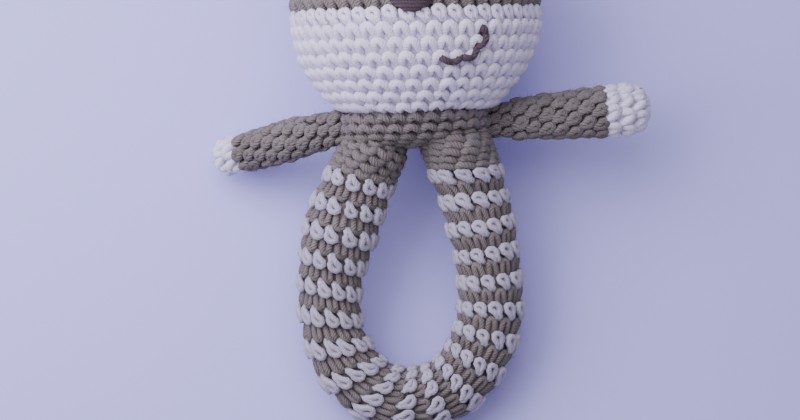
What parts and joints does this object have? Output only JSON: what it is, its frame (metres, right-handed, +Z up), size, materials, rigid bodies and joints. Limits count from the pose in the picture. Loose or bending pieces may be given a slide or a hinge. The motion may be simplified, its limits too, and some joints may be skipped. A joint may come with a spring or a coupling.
{
  "type": "crocheted teddy rattle",
  "caption": "Stuffed crocheted teddy rattle: ball head with a rattle ball inside, short body, swinging sewn-on arms and a striped ring handle for a baby's grip.",
  "frame": {"origin": "bottom centre of the bounding box, on the surface that the toy lies on", "axes": "+Y towards the crown of the head, +Z up out of the face, +X to the right of someone facing the toy"},
  "size_m": [0.1244, 0.154, 0.0718],
  "materials": {
    "taupe_yarn": "crocheted yarn",
    "cream_yarn": "crocheted yarn",
    "brown_yarn": "embroidery yarn",
    "fibre_stuffing": "polyester fibre",
    "ball_plastic": "moulded",
    "bead_plastic": "moulded"
  },
  "bodies": {
    "plush": {"head_crown": "taupe_yarn", "head_muzzle": "cream_yarn", "crown_stuffing": "fibre_stuffing", "muzzle_stuffing": "fibre_stuffing", "rattle_cup": "ball_plastic", "rattle_lid": "ball_plastic", "nose": "brown_yarn", "smile": "brown_yarn", "left_eye": "brown_yarn", "right_eye": "brown_yarn", "left_ear": "taupe_yarn", "right_ear": "taupe_yarn", "body_cover": "taupe_yarn", "body_stuffing": "fibre_stuffing", "ring_tube": "taupe_yarn", "ring_stuffing": "fibre_stuffing", "cream_round_01": "cream_yarn", "cream_round_02": "cream_yarn", "cream_round_03": "cream_yarn", "cream_round_04": "cream_yarn", "cream_round_05": "cream_yarn", "cream_round_06": "cream_yarn", "cream_round_07": "cream_yarn", "cream_round_08": "cream_yarn", "cream_round_09": "cream_yarn", "cream_round_10": "cream_yarn", "cream_round_11": "cream_yarn", "cream_round_12": "cream_yarn", "cream_round_13": "cream_yarn", "cream_round_14": "cream_yarn", "cream_round_15": "cream_yarn", "cream_round_16": "cream_yarn", "cream_round_17": "cream_yarn", "cream_round_18": "cream_yarn", "cream_round_19": "cream_yarn", "cream_round_20": "cream_yarn"},
    "left_arm": {"left_arm_sleeve": "taupe_yarn", "left_paw": "cream_yarn", "left_arm_stuffing": "fibre_stuffing"},
    "right_arm": {"right_arm_sleeve": "taupe_yarn", "right_paw": "cream_yarn", "right_arm_stuffing": "fibre_stuffing"},
    "bead_1_body": {"bead_1": "bead_plastic"},
    "bead_2_body": {"bead_2": "bead_plastic"},
    "bead_3_body": {"bead_3": "bead_plastic"},
    "bead_4_body": {"bead_4": "bead_plastic"},
    "bead_5_body": {"bead_5": "bead_plastic"}
  },
  "joints": [
    {"name": "left_arm_swing", "type": "hinge", "parent": "plush", "child": "left_arm", "pos_m": [-0.02696, 0.00677, 0.02692], "axis": [-0.2656, 0.9385, 0.2207], "range_deg": [-12, 88], "stiffness_Nm_per_rad": 0.02},
    {"name": "right_arm_swing", "type": "hinge", "parent": "plush", "child": "right_arm", "pos_m": [0.02027, 0.0093, 0.02751], "axis": [0.0785, -0.9705, -0.2282], "range_deg": [-40, 60], "stiffness_Nm_per_rad": 0.02},
    {"name": "bead_1_travel", "type": "slide", "parent": "plush", "child": "bead_1_body", "axis": [0, 0, 1], "range_m": [0, 0.0192]},
    {"name": "bead_2_travel", "type": "slide", "parent": "plush", "child": "bead_2_body", "axis": [0, 0, 1], "range_m": [0, 0.0136]},
    {"name": "bead_3_travel", "type": "slide", "parent": "plush", "child": "bead_3_body", "axis": [0, 0, 1], "range_m": [0, 0.0136]},
    {"name": "bead_4_travel", "type": "slide", "parent": "plush", "child": "bead_4_body", "axis": [0, 0, 1], "range_m": [0, 0.0136]},
    {"name": "bead_5_travel", "type": "slide", "parent": "plush", "child": "bead_5_body", "axis": [0, 0, 1], "range_m": [0, 0.0136]}
  ]
}
